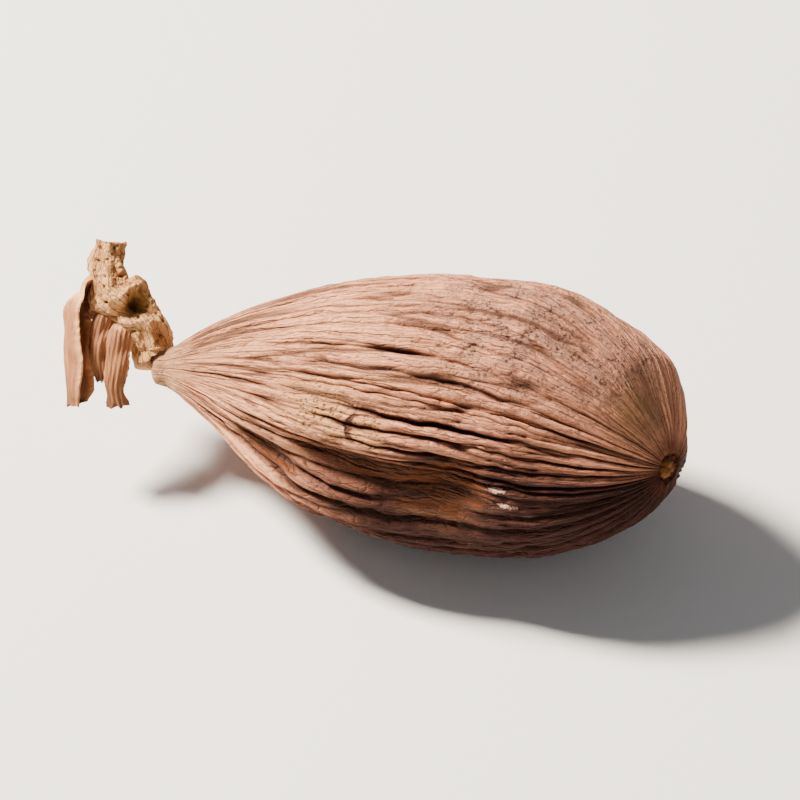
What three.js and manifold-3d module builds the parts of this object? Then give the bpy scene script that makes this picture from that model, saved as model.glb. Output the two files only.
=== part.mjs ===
// A dried tsao-ko cardamom pod lying on its side, with the broken piece of stalk that it grew on.
// Millimetres, +Z up. +X runs from the stalk to the pod's tip, and z = 0 is the surface under it.
// Turns round the pod are in degrees: 0 is +Y, 90 is up, 180 is -Y and 270 is down.
// Places along it, called t, are shares of its length: 0 is the neck's end and 1 is the tip.

import * as THREE from 'three';
import Module from 'manifold-3d';
import { mergeVertices } from 'three/addons/utils/BufferGeometryUtils.js';

const wasm = await Module();
wasm.setup();

// Driving dimensions of the pod
const POD_LENGTH = 36.6;
const POD_RADIUS = 9.4;
const WIDEST_AT = 0.56; // share of the length, counted from the stalk end
const NECK_END = 0.02; // share of the length taken by the neck
const NECK_SHARE = 0.125; // radius of the neck, as a share of the pod's
const SHOULDER_ROUNDNESS = 0.97;
const TIP_ROUNDNESS = 0.51;
const BLUNT_ANGLES = 3;
const BLUNT_SHARE = 0.055; // how far the three blunt angles stand out of a round section
const BLUNT_AT = 82;
const REST_AT = 0.54; // the pod rests below this share of its length, at the origin
const AXIS_HEIGHT = 8.62;
const AXIS_SIDE = -0.6;
const TIP_LIFT = 2.5;
const TIP_SWING = 3.2; // the tip turns this far towards -Y
const NECK_DROP = 0.6; // the neck sags this far and turns this far towards -Y
const NECK_SWING = 0.5;
const NECK_BEND_TO = 0.25; // share of the length

// Furrows between the ribs
const FURROWS = 54;
const RIB_COLUMNS = [0, 0.22, 0.78]; // places of the mesh's columns, from one furrow to the next
const COLUMNS = FURROWS * RIB_COLUMNS.length;
const FURROW_DEPTH = 0.8;
const FURROW_WIDTH = 0.15; // of the distance to the next furrow
const FURROW_LIMIT = 0.62; // deepest furrow, as a share of that distance in millimetres
const SPACING_DRIFT = 0.55;
const WANDER = 0.16;
const BODY_STATIONS = 27; // rings of points along the husk, closer together towards its ends
const FIRST_STATION = 0.006;
const LAST_STATION = 0.997;
const CLOSER_AT_ENDS = 0.65;
const FAINTEST_RELIEF = 0.06;
const SEED = 11;

// Round button at the tip, which is the base of the fallen flower, as [along the axis, radius] from the tip
const BUTTON = [[-0.25, 0.95], [-0.4, 0.68], [-0.12, 0.58], [0.1, 0.42], [0.12, 0.2]];
const BUTTON_FLOOR = 0.08;
const BUTTON_CHIP = 0.18;

// Socket at the stalk end, as [along the axis, radius] from the end of the neck
const SOCKET_RIM = [-0.28, 1.1];
const SOCKET = [[0.85, 0.6], [-0.15, 0.7], [-0.28, 0.9], [-0.1, 1.15]];
const SOCKET_FLOOR = 0.9;
const KNOB_AT = 0.7;
const KNOB_LENGTH = 0.5;
const KNOB_SWELL = 0.08;

// Broad folds and dents of the dried husk: place along and round the pod, spread of each, height
const FOLDS = [
  { t: 0.24, turn: 168, spreadT: 0.07, spreadTurn: 7, height: 0.55 }, // the blunt keel on the front flank
  { t: 0.42, turn: 156, spreadT: 0.12, spreadTurn: 6, height: 0.85 },
  { t: 0.6, turn: 150, spreadT: 0.09, spreadTurn: 7, height: 0.35 },
  { t: 0.25, turn: 179, spreadT: 0.07, spreadTurn: 5.5, height: -0.85 }, // the hollow under the keel
  { t: 0.43, turn: 166, spreadT: 0.1, spreadTurn: 5.5, height: -1.25 },
  { t: 0.63, turn: 169, spreadT: 0.09, spreadTurn: 13, height: -1.6 }, // the deep dent beside it
  { t: 0.32, turn: 194, spreadT: 0.11, spreadTurn: 9, height: 0.95 }, // the pleated lobe
  { t: 0.4, turn: 212, spreadT: 0.1, spreadTurn: 9, height: -0.45 },
  { t: 0.82, turn: 186, spreadT: 0.08, spreadTurn: 14, height: 0.3 },
  { t: 0.66, turn: 236, spreadT: 0.12, spreadTurn: 20, height: -0.5 },
  { t: 0.72, turn: 96, spreadT: 0.12, spreadTurn: 26, height: 0.3 },
  { t: 0.5, turn: 40, spreadT: 0.2, spreadTurn: 10, height: -0.45 },
  { t: 0.38, turn: 20, spreadT: 0.16, spreadTurn: 9, height: 0.5 },
  { t: 0.7, turn: 352, spreadT: 0.13, spreadTurn: 13, height: -0.8 },
  { t: 0.3, turn: 325, spreadT: 0.12, spreadTurn: 14, height: 0.45 },
  { t: 0.45, turn: 118, spreadT: 0.14, spreadTurn: 14, height: 0.25 },
  { t: 0.83, turn: 46, spreadT: 0.14, spreadTurn: 38, height: 1.9 }, // the full shoulder beside the tip
  { t: 0.94, turn: 35, spreadT: 0.05, spreadTurn: 38, height: 0.5 },
  { t: 0.965, turn: 66, spreadT: 0.035, spreadTurn: 10, height: -0.45 }, // the crease beside the button
];

// Where the furrows are deeper or fainter than usual
const RELIEF_ZONES = [
  { t: 0.3, turn: 92, spreadT: 0.26, spreadTurn: 32, gain: -0.62 }, // faint lines on the upper flank
  { t: 0.76, turn: 84, spreadT: 0.14, spreadTurn: 27, gain: -0.8 }, // the smooth mottled patch
  { t: 0.91, turn: 74, spreadT: 0.07, spreadTurn: 26, gain: -0.5 },
  { t: 0.34, turn: 142, spreadT: 0.05, spreadTurn: 8, gain: -0.6 }, // the corky spot
  { t: 0.62, turn: 140, spreadT: 0.18, spreadTurn: 16, gain: 0.6 },
  { t: 0.3, turn: 195, spreadT: 0.14, spreadTurn: 16, gain: 0.9 }, // the pleats under the keel
  { t: 0.63, turn: 170, spreadT: 0.06, spreadTurn: 10, gain: -0.45 }, // the dent's floor
  { t: 0.45, turn: 30, spreadT: 0.25, spreadTurn: 30, gain: 0.35 },
  { t: 0.6, turn: 330, spreadT: 0.2, spreadTurn: 25, gain: 0.3 },
];
const REST_PATCH = { t: 0.54, turn: 270, spreadT: 0.14, spreadTurn: 20 }; // pressed smooth by its own weight
const REST_SMOOTHING = 2;

// Piece of stalk: its centre line and radii, in millimetres from the end of the pod's neck
const STALK_LINE = [
  [-0.35, 0.05, 0.05],
  [-0.75, 1.0, 0.7],
  [-1.2, 1.5, 1.8],
  [-2.4, 2.15, 2.75],
  [-4.2, 2.75, 3.75],
  [-4.6, 3.5, 4.6],
  [-4.9, 4.45, 5.55],
  [-4.95, 4.95, 6.1],
];
const STALK_RADII = [[0, 1.35], [0.1, 1.45], [0.25, 1.35], [0.4, 1.45], [0.54, 1.75], [0.63, 1.85],
  [0.75, 1.4], [0.89, 1.15], [1, 0.95]];
const MOUTH_RAGGED = [[2, 1, 0.035], [5, 0, 0.022]]; // waves round the torn edge: count, phase, shift
const STALK_GAP = 0.12; // the crack between the neck and the stalk
const NECK_ROOM_TO = 0.08; // share of the pod's length over which the crack is kept
const NECK_ROOM_STEPS = 8;
const PEG = { radius: 0.45, from: 0.65, to: -1.1, sides: 12 }; // holds the stalk in the neck's socket
const STALK_COLUMNS = 20;
const STALK_STATIONS = 30;
const STALK_SEED = 5;
const SMOOTH_FOOT = 0.12; // share of the stalk's length
const BREAK_FROM = 0.9;
const SPLINTER = 0.18;
const BREAK_HOLLOW = 0.5;
const FIBRES = 7;
const FIBRE_HEIGHT = 0.12;
const CORK_WAVES = 9;
const CORK_HEIGHT = 0.055;
const SCAR = { t: 0.455, turn: 126, spreadT: 0.04, spreadTurn: 25, depth: 0.9 }; // left by a side stalk
const SCAR_BRIM = { t: 0.49, turn: 146, spreadT: 0.06, spreadTurn: 40, height: 0.7 };
const STALK_SHOULDER = { t: 0.65, turn: 322, spreadT: 0.05, spreadTurn: 34, height: 0.8 };

// Three dried bracts that hang from the stalk: centre line from the end of the neck, width along it, the way
// that the outer face looks, and how far the edges curl to the inner side
const BRACT_THICKNESS = 0.6;
const BRACT_STATIONS = 16;
const BRACT_POINTS = 8; // points across one face
const BRACTS = [
  {
    line: [[-4.75, 2.4, 3.6], [-6.0, 1.85, 3.65], [-6.6, 0.95, 3.2], [-6.5, -0.2, 2.2],
      [-6.05, -1.45, 1.0], [-5.65, -2.6, -0.3], [-5.3, -3.6, -1.55]],
    widths: [[0, 1.4], [0.2, 2.5], [0.6, 2.7], [0.9, 2.4], [1, 1.8]],
    face: [-0.98, -0.09, -0.18],
    curl: 1.1,
  },
  {
    line: [[-4.05, 2.2, 3.7], [-4.1, 0.75, 3.25], [-4.1, -0.65, 2.35], [-3.8, -1.7, 1.3],
      [-3.35, -2.45, 0.15]],
    widths: [[0, 1.2], [0.35, 1.25], [0.8, 1.1], [1, 0.7]],
    face: [0.1, -0.7, 0.7],
    curl: 0.3,
  },
  {
    line: [[-2.8, 1.85, 2.95], [-2.75, 0.5, 2.7], [-2.6, -0.95, 1.85], [-2.4, -1.95, 0.9],
      [-2.25, -2.75, -0.1], [-1.85, -3.3, -1.1]],
    widths: [[0, 1.4], [0.35, 1.9], [0.6, 1.8], [0.85, 1.15], [1, 1.6]],
    face: [0.2, -0.68, 0.7],
    curl: 0.35,
  },
];

const TURN = Math.PI * 2;
const RADIANS = Math.PI / 180;
const VALLEY_SHARPNESS = 1.4;
const CALM_ENDS = 0.6; // folds grow fainter where the radius is under this share of the pod's

function seededRandom(seed) {
  let state = seed;
  return () => {
    state = (state * 16807) % 2147483647;
    return state / 2147483647;
  };
}

// Value of a list of [place, value] pairs at a place, eased between the pairs
function easedValue(pairs, place) {
  for (let i = 1; i < pairs.length; i += 1) {
    if (place <= pairs[i][0]) {
      const share = THREE.MathUtils.smoothstep(place, pairs[i - 1][0], pairs[i][0]);
      return THREE.MathUtils.lerp(pairs[i - 1][1], pairs[i][1], share);
    }
  }
  return pairs.at(-1)[1];
}

// 1 at the middle of a spot on the surface, falling to 0 around it
function spot({ t, turn, spreadT, spreadTurn }, atT, atAngle) {
  const aside = Math.atan2(Math.sin(atAngle - turn * RADIANS), Math.cos(atAngle - turn * RADIANS));
  const along = (atT - t) / spreadT;
  const around = aside / (spreadTurn * RADIANS);
  return Math.exp(-0.5 * (along * along + around * around));
}

function centreOf(t) {
  const towardsTip = Math.max(0, (t - WIDEST_AT) / (1 - WIDEST_AT)) ** 2;
  const towardsNeck = Math.max(0, 1 - t / NECK_BEND_TO) ** 2;
  return new THREE.Vector3(
    (t - REST_AT) * POD_LENGTH,
    AXIS_SIDE - TIP_SWING * towardsTip - NECK_SWING * towardsNeck,
    AXIS_HEIGHT + TIP_LIFT * towardsTip - NECK_DROP * towardsNeck,
  );
}

// Directions of the pod's section at a place: along the axis, to the side and up
function sectionAt(t) {
  const step = 1e-3;
  const along = centreOf(t + step).sub(centreOf(t - step)).normalize();
  const side = new THREE.Vector3(0, 1, 0).addScaledVector(along, -along.y).normalize();
  return { along, side, up: new THREE.Vector3().crossVectors(along, side) };
}

function sectionPoint(t, along, outwards, angle) {
  const section = sectionAt(t);
  return centreOf(t)
    .addScaledVector(section.along, along)
    .addScaledVector(section.side, outwards * Math.cos(angle))
    .addScaledVector(section.up, outwards * Math.sin(angle));
}

function radiusOf(t) {
  if (t < WIDEST_AT) {
    const w = Math.max(0, (t - NECK_END) / (WIDEST_AT - NECK_END));
    const swelling = Math.sin((w * Math.PI) / 2) ** SHOULDER_ROUNDNESS;
    const knob = Math.exp(-(((t * POD_LENGTH - KNOB_AT) / KNOB_LENGTH) ** 2));
    return POD_RADIUS * (NECK_SHARE * (1 + KNOB_SWELL * knob) + (1 - NECK_SHARE) * swelling);
  }
  const v = Math.min(1, (t - WIDEST_AT) / (1 - WIDEST_AT));
  return POD_RADIUS * (1 - v * v) ** TIP_ROUNDNESS;
}

const drawFurrow = seededRandom(SEED);
const furrows = Array.from({ length: FURROWS }, (_, index) => ({
  place: index + SPACING_DRIFT * (drawFurrow() - 0.5),
  depth: 0.3 + 0.7 * drawFurrow(),
  waves: 0.5 + drawFurrow(),
  wavePhase: drawFurrow(),
  fades: 0.7 + 1.6 * drawFurrow(),
  fadePhase: drawFurrow(),
}));

const columns = Array.from({ length: COLUMNS }, (_, column) => [
  Math.floor(column / RIB_COLUMNS.length),
  RIB_COLUMNS[column % RIB_COLUMNS.length],
]);

function furrowAngle(index, t) {
  const round = Math.floor(index / FURROWS);
  const furrow = furrows[index - round * FURROWS];
  const wave = WANDER * Math.sin(TURN * (furrow.waves * t + furrow.wavePhase));
  return ((furrow.place + wave) / FURROWS + round) * TURN;
}

function angleBetween(index, share, t) {
  return THREE.MathUtils.lerp(furrowAngle(index, t), furrowAngle(index + 1, t), share);
}

function furrowDepth(index, t) {
  const furrow = furrows[index % FURROWS];
  const fade = 0.68 + 0.32 * Math.sin(TURN * (furrow.fades * t + furrow.fadePhase));
  return furrow.depth * fade;
}

function reliefGain(t, angle) {
  let gain = 1;
  for (const zone of RELIEF_ZONES) gain += zone.gain * spot(zone, t, angle);
  const pressed = Math.min(1, REST_SMOOTHING * spot(REST_PATCH, t, angle));
  return Math.max(FAINTEST_RELIEF, gain) * (1 - pressed);
}

// Height of the husk over its smooth form, at a share of the way from one furrow to the next
function huskHeight(index, share, t, angle, radius) {
  const spacing = (radius * TURN) / FURROWS;
  const valley = (w) => Math.exp(-((w / FURROW_WIDTH) ** VALLEY_SHARPNESS));
  const cut = furrowDepth(index, t) * valley(share) + furrowDepth(index + 1, t) * valley(1 - share);
  const depth = Math.min(FURROW_DEPTH, FURROW_LIMIT * spacing) * reliefGain(t, angle);
  let height = -cut * depth;
  const calm = Math.min(1, radius / (POD_RADIUS * CALM_ENDS));
  for (const fold of FOLDS) height += fold.height * calm * spot(fold, t, angle);
  return height;
}

function podPoint(index, share, t) {
  const angle = angleBetween(index, share, t);
  const radius = radiusOf(t);
  const step = 1e-4;
  const slope = (radiusOf(t + step) - radiusOf(t - step)) / (2 * step * POD_LENGTH);
  const normal = new THREE.Vector2(-slope, 1).normalize();
  const roundness = 1 + BLUNT_SHARE * Math.cos(BLUNT_ANGLES * (angle - BLUNT_AT * RADIANS));
  const height = huskHeight(index, share, t, angle, radius);
  const point = sectionPoint(t, height * normal.x, radius * roundness + height * normal.y, angle);
  point.z = Math.max(0, point.z);
  return point;
}

// A closed skin over rings of equally many points, with a single point at each end
function skin(startPole, rings, endPole) {
  const count = rings[0].length;
  const points = [startPole, ...rings.flat(), endPole];
  const last = points.length - 1;
  const index = [];
  for (let c = 0; c < count; c += 1) {
    const next = (c + 1) % count;
    index.push(0, 1 + next, 1 + c);
    const base = 1 + (rings.length - 1) * count;
    index.push(last, base + c, base + next);
    for (let r = 0; r < rings.length - 1; r += 1) {
      const here = 1 + r * count;
      const there = here + count;
      index.push(here + c, here + next, there + next);
      index.push(here + c, there + next, there + c);
    }
  }
  const geometry = new THREE.BufferGeometry().setFromPoints(points);
  geometry.setIndex(index);
  return geometry;
}

// A plain ring of the pod's columns, for the button and the socket, broken by up to the chip
function plainRing(t, along, radius, chip = 0) {
  return columns.map(([index, share]) => {
    const angle = angleBetween(index, share, t);
    const broken = chip * (0.5 + 0.5 * Math.sin(3 * angle + 1)) * (0.6 + 0.4 * Math.sin(7 * angle));
    const uneven = 1 + chip * (0.6 * Math.sin(2 * angle + 0.5) + 0.3 * Math.sin(5 * angle));
    return sectionPoint(t, along - broken, radius * uneven, angle);
  });
}

function makePod() {
  const rings = SOCKET.map(([along, radius]) => plainRing(0, along, radius));
  for (let s = 0; s < BODY_STATIONS; s += 1) {
    const even = s / (BODY_STATIONS - 1);
    const eased = 0.5 - 0.5 * Math.cos(Math.PI * even);
    const share = THREE.MathUtils.lerp(even, eased, CLOSER_AT_ENDS);
    const t = THREE.MathUtils.lerp(FIRST_STATION, LAST_STATION, share);
    rings.push(columns.map(([index, share]) => podPoint(index, share, t)));
  }
  BUTTON.forEach(([along, radius], i) => {
    rings.push(plainRing(1, along, radius, i > 1 ? BUTTON_CHIP : 0));
  });
  const start = sectionPoint(0, SOCKET_FLOOR, 0, 0);
  const end = sectionPoint(1, BUTTON_FLOOR, 0, 0);
  return skin(start, rings, end);
}

function curveFromNeck(line) {
  const neck = centreOf(0);
  return new THREE.CatmullRomCurve3(line.map((p) => new THREE.Vector3(...p).add(neck)));
}

// Corky lumps of the stalk, as a sum of waves with seeded phases
const drawCork = seededRandom(STALK_SEED);
const corkWaves = Array.from({ length: CORK_WAVES }, (_, i) => ({
  along: 0.75 + 0.6 * i + 0.5 * drawCork(),
  around: 1 + (i % 5),
  phase: TURN * drawCork(),
}));

function corkHeight(t, angle) {
  let sum = 0;
  for (const wave of corkWaves) sum += Math.sin(wave.along * TURN * t + wave.around * angle + wave.phase);
  return CORK_HEIGHT * sum;
}

function makeStalkPiece() {
  const curve = curveFromNeck(STALK_LINE);
  const frames = curve.computeFrenetFrames(STALK_STATIONS - 1, false);
  const draw = seededRandom(STALK_SEED + 1);
  const splinters = Array.from({ length: STALK_COLUMNS }, () => draw());
  const rings = [];
  for (let s = 0; s < STALK_STATIONS; s += 1) {
    const t = s / (STALK_STATIONS - 1);
    const centre = curve.getPointAt(t);
    const rough = THREE.MathUtils.smoothstep(t, 0, SMOOTH_FOOT);
    const ends = THREE.MathUtils.smoothstep(t, BREAK_FROM, 1);
    const ring = [];
    for (let c = 0; c < STALK_COLUMNS; c += 1) {
      const angle = (c / STALK_COLUMNS) * TURN;
      const fibres = FIBRE_HEIGHT * Math.sin(FIBRES * angle + 2 * t);
      const hollow = spot(SCAR, t, angle);
      const brim = spot(SCAR_BRIM, t, angle);
      const scar = SCAR_BRIM.height * brim - (SCAR.depth + SCAR_BRIM.height) * hollow;
      let ragged = 0;
      for (const [waves, phase, shift] of MOUTH_RAGGED) ragged += shift * Math.sin(waves * angle + phase);
      const shoulder = STALK_SHOULDER.height * spot(STALK_SHOULDER, t, angle);
      const rise = rough * (fibres + corkHeight(t, angle) + scar + shoulder);
      const radius = easedValue(STALK_RADII, t + rough * ragged) + rise;
      const broken = SPLINTER * splinters[c] * ends;
      ring.push(centre.clone()
        .addScaledVector(frames.normals[s], radius * Math.cos(angle))
        .addScaledVector(frames.binormals[s], radius * Math.sin(angle))
        .addScaledVector(frames.tangents[s], broken));
    }
    rings.push(ring);
  }
  const hollowEnd = curve.getPointAt(1).addScaledVector(frames.tangents.at(-1), -BREAK_HOLLOW);
  return skin(curve.getPointAt(0), rings, hollowEnd);
}

// A thin arched blade along a curve: one face out, the other face back, closed at both ends
function makeBract({ line, widths, face, curl }) {
  const curve = curveFromNeck(line);
  const facing = new THREE.Vector3(...face).normalize();
  const rings = [];
  for (let s = 0; s < BRACT_STATIONS; s += 1) {
    const t = s / (BRACT_STATIONS - 1);
    const centre = curve.getPointAt(t);
    const side = new THREE.Vector3().crossVectors(curve.getTangentAt(t), facing).normalize();
    const out = new THREE.Vector3().crossVectors(side, curve.getTangentAt(t)).normalize();
    const width = easedValue(widths, t);
    const ring = [];
    for (const outer of [1, -1]) {
      for (let p = 0; p < BRACT_POINTS; p += 1) {
        const across = outer * (2 * (p / (BRACT_POINTS - 1)) - 1);
        const slope = 2 * curl * across;
        const off = BRACT_THICKNESS * (0.5 - 0.2 * across * across) * outer / Math.hypot(1, slope);
        ring.push(centre.clone()
          .addScaledVector(side, across * width / 2 + off * slope)
          .addScaledVector(out, off - curl * across * across * width / 2));
      }
    }
    rings.push(ring);
  }
  return skin(curve.getPointAt(0), rings, curve.getPointAt(1));
}

function toSolid(geometry) {
  return new wasm.Manifold(new wasm.Mesh({
    numProp: 3,
    vertProperties: new Float32Array(geometry.attributes.position.array),
    triVerts: new Uint32Array(geometry.index.array),
  }));
}

function toGeometry(solid) {
  const mesh = solid.getMesh();
  const geometry = new THREE.BufferGeometry();
  geometry.setAttribute('position', new THREE.BufferAttribute(new Float32Array(mesh.vertProperties), 3));
  geometry.setIndex(new THREE.BufferAttribute(new Uint32Array(mesh.triVerts), 1));
  return geometry;
}

function outwards(geometry) {
  const { array } = geometry.attributes.position;
  const order = geometry.index.array;
  const corner = (i) => new THREE.Vector3().fromArray(array, order[i] * 3);
  let volume = 0;
  for (let i = 0; i < order.length; i += 3) {
    volume += corner(i).dot(corner(i + 1).cross(corner(i + 2)));
  }
  if (volume < 0) {
    for (let i = 0; i < order.length; i += 3) [order[i], order[i + 1]] = [order[i + 1], order[i]];
  }
  return geometry;
}

// The neck grown by the crack's width, which the stalk is cut by
function neckRoom() {
  const [rimAlong, rimRadius] = SOCKET_RIM;
  const rings = [plainRing(0, rimAlong - STALK_GAP, rimRadius + STALK_GAP)];
  for (let s = 0; s <= NECK_ROOM_STEPS; s += 1) {
    const t = (s / NECK_ROOM_STEPS) * NECK_ROOM_TO;
    rings.push(plainRing(t, 0, radiusOf(t) + STALK_GAP));
  }
  const start = sectionPoint(0, rimAlong - STALK_GAP, 0, 0);
  return toSolid(outwards(skin(start, rings, centreOf(NECK_ROOM_TO))));
}

function makePeg() {
  const length = PEG.from - PEG.to;
  const middle = sectionPoint(0, (PEG.from + PEG.to) / 2, 0, 0);
  const peg = new THREE.CylinderGeometry(PEG.radius, PEG.radius, length, PEG.sides);
  peg.rotateZ(Math.PI / 2);
  peg.translate(middle.x, middle.y, middle.z);
  peg.deleteAttribute('normal');
  peg.deleteAttribute('uv');
  return toSolid(outwards(mergeVertices(peg)));
}

function makeStalk() {
  const bracts = BRACTS.map((bract) => toSolid(outwards(makeBract(bract))));
  const piece = toSolid(outwards(makeStalkPiece())).subtract(neckRoom());
  const stalk = bracts.reduce((whole, bract) => whole.add(bract), piece).add(makePeg());
  return toGeometry(stalk);
}

function named(name, geometry, material) {
  geometry.computeVertexNormals();
  const mesh = new THREE.Mesh(geometry, material);
  mesh.name = name;
  return mesh;
}

const husk = new THREE.MeshStandardMaterial({ color: 0x9c6f57, roughness: 0.78, metalness: 0 });
const driedStem = new THREE.MeshStandardMaterial({ color: 0xb58a63, roughness: 0.88, metalness: 0 });

const tsaoko = new THREE.Group();
tsaoko.add(named('pod', outwards(makePod()), husk));
tsaoko.add(named('stalk', makeStalk(), driedStem));

export default tsaoko;
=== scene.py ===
# %% [markdown]
# # A dried tsao-ko cardamom pod
# This script dresses a plain model of one dried spice pod, which lies on its side with a broken
# piece of stalk still on it. The plain model gives every place and size. Here its two parts are
# made again with finer skins, which keep the same form and add the small wrinkles, and then they
# get their colours.
#
# The first cell loads the plain model and keeps its box, so that the end of the script can show
# that nothing grew.

# %% Load the plain model
import math

import bpy
import numpy as np
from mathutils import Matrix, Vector, noise


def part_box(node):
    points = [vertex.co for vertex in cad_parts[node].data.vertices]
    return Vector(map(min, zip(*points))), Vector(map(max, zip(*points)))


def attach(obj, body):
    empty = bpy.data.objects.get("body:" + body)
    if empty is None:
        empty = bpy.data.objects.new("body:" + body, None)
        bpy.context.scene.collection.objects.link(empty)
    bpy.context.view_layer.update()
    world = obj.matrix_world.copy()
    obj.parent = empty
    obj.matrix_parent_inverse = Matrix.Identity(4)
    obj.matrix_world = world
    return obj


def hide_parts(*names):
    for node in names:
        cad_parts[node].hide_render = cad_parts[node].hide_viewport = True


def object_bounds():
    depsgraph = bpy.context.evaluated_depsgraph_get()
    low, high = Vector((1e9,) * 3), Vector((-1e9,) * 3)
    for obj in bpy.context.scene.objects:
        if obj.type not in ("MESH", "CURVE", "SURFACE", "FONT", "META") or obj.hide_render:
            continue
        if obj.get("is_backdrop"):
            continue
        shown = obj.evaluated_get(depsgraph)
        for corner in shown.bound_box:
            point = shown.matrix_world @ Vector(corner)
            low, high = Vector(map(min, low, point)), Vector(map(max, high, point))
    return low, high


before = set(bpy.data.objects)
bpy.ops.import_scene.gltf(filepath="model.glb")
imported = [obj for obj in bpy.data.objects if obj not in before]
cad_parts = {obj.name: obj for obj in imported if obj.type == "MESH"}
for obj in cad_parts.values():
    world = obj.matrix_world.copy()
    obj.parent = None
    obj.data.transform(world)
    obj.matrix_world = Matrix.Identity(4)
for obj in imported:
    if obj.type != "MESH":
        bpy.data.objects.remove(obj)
plain_box = [list(corner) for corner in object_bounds()]
for name in sorted(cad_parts):
    low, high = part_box(name)
    print(name, "size in mm:", [round(1000 * side, 1) for side in high - low])

# %% [markdown]
# Lengths below are in millimetres, as a maker would measure the pod, and one factor turns them
# into Blender's metres. A place on the pod has two numbers. The first, t, is a share of its
# length: 0 at the neck and 1 at the tip. The second is a turn round it in degrees: 90 is up, 180
# faces the camera's side and 270 is down on the table.

# %% Units
MM = 0.001
TURN = 2 * math.pi
print("one millimetre is", MM, "m and a whole turn", round(TURN, 3), "radians")

# %% [markdown]
# A dried pod is irregular, so much of it is left to chance. Blender's own random tools could give
# that, but the pod has to be the same pod on every run. So a small helper draws the same numbers
# each time. The others ease a value from 0 to 1 between two places, give a soft round spot on the
# pod, and read smooth noise at many points at once.

# %% Chance, soft steps and spots
DRAW_FACTOR = 16807
DRAW_RANGE = 2147483647


def seeded(seed):
    state = seed

    def draw():
        nonlocal state
        state = state * DRAW_FACTOR % DRAW_RANGE
        return state / DRAW_RANGE

    return draw


def eased(value, start, end):
    share = np.clip((value - start) / (end - start), 0, 1)
    return share * share * (3 - 2 * share)


def spot(t, turn, at, towards, spread_t, spread_turn):
    """1 in the middle of a spot on the pod, falling to 0 around it."""
    aside = (turn - math.radians(towards) + math.pi) % TURN - math.pi
    return np.exp(-0.5 * (((t - at) / spread_t) ** 2 + (aside / math.radians(spread_turn)) ** 2))


def noise_at(points):
    """Smooth noise between about -1 and 1 at each point of an array."""
    flat = points.reshape(-1, 3).tolist()
    return np.array([noise.noise(point) for point in flat]).reshape(points.shape[:-1])


print("halfway between two places a soft step is", eased(0.5, 0, 1))

# %% [markdown]
# ## The form of the husk
# The husk dried round a ball of seeds. It is egg-shaped, widest a little past the middle, with a
# short neck where it grew on its stalk and three blunt angles round it. The neck sags a little
# and the tip is bent to one side. A profile spun round an axis, like a turned bowl, would be too
# round and too straight. So a profile gives only the radius at each place, and a bent centre line
# carries the sections, each square to that line.

# %% Profile and centre line
POD_LENGTH = 36.6
POD_RADIUS = 9.4
WIDEST_AT = 0.56
NECK_END = 0.02
NECK_SHARE = 0.125
SHOULDER_ROUNDNESS = 0.97
TIP_ROUNDNESS = 0.51
BLUNT_ANGLES = 3
BLUNT_SHARE = 0.055
BLUNT_AT = 82
REST_AT = 0.54
AXIS_HEIGHT = 8.62
AXIS_SIDE = -0.6
TIP_LIFT = 2.5
TIP_SWING = 3.2
NECK_DROP = 0.6
NECK_SWING = 0.5
NECK_BEND_TO = 0.25
KNOB_AT = 0.7
KNOB_LENGTH = 0.5
KNOB_SWELL = 0.08


def centre_of(t):
    towards_tip = np.maximum(0, (t - WIDEST_AT) / (1 - WIDEST_AT)) ** 2
    towards_neck = np.maximum(0, 1 - t / NECK_BEND_TO) ** 2
    return np.stack([
        (t - REST_AT) * POD_LENGTH,
        AXIS_SIDE - TIP_SWING * towards_tip - NECK_SWING * towards_neck,
        AXIS_HEIGHT + TIP_LIFT * towards_tip - NECK_DROP * towards_neck,
    ], axis=-1)


def radius_of(t):
    w = np.clip((t - NECK_END) / (WIDEST_AT - NECK_END), 0, 1)
    knob = np.exp(-(((t * POD_LENGTH - KNOB_AT) / KNOB_LENGTH) ** 2))
    swelling = np.sin(w * math.pi / 2) ** SHOULDER_ROUNDNESS
    shoulder = NECK_SHARE * (1 + KNOB_SWELL * knob) + (1 - NECK_SHARE) * swelling
    v = np.clip((t - WIDEST_AT) / (1 - WIDEST_AT), 0, 1)
    return POD_RADIUS * np.where(t < WIDEST_AT, shoulder, (1 - v * v) ** TIP_ROUNDNESS)


def unit(vectors):
    return vectors / np.linalg.norm(vectors, axis=-1, keepdims=True)


def section_point(t, along, outwards, turn):
    """A point beside the centre line: so far along it, and so far out of it towards a turn."""
    step = 1e-3
    axis = unit(centre_of(t + step) - centre_of(t - step))
    side = unit(np.array([0, 1, 0]) - axis * axis[..., 1:2])
    up = np.cross(axis, side)
    across = side * np.cos(turn)[..., None] + up * np.sin(turn)[..., None]
    return centre_of(t) + axis * np.asarray(along)[..., None] + across * np.asarray(outwards)[..., None]


print("widest:", 2 * POD_RADIUS, "mm at", round(WIDEST_AT * POD_LENGTH, 1), "mm from the neck")

# %% [markdown]
# ## Ribs and furrows
# The shrinking skin folded into ribs that run from the neck to the tip. They aren't evenly
# spaced: each furrow between two ribs has its own place, depth and slow wander, and it fades here
# and there. A picture could push them into a smooth body, but it needs very many faces to stay
# sharp. Here the mesh's columns follow the furrows, with more of them close to a furrow, where
# the skin bends most. That keeps a narrow furrow sharp with few faces.

# %% Furrows
FURROWS = 54
FURROW_DEPTH = 0.8
FURROW_WIDTH = 0.15
FURROW_LIMIT = 0.62
VALLEY_SHARPNESS = 1.4
SPACING_DRIFT = 0.55
WANDER = 0.16
JAG = 0.2
JAG_CELLS = 26
BREAK_UP = 0.75
BREAK_UP_CELLS = 11
NOISE_APART = 3.7
SEED = 11
RIB_COLUMNS = [0, 0.07, 0.16, 0.27, 0.4, 0.54, 0.67, 0.78, 0.87, 0.94]

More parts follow.
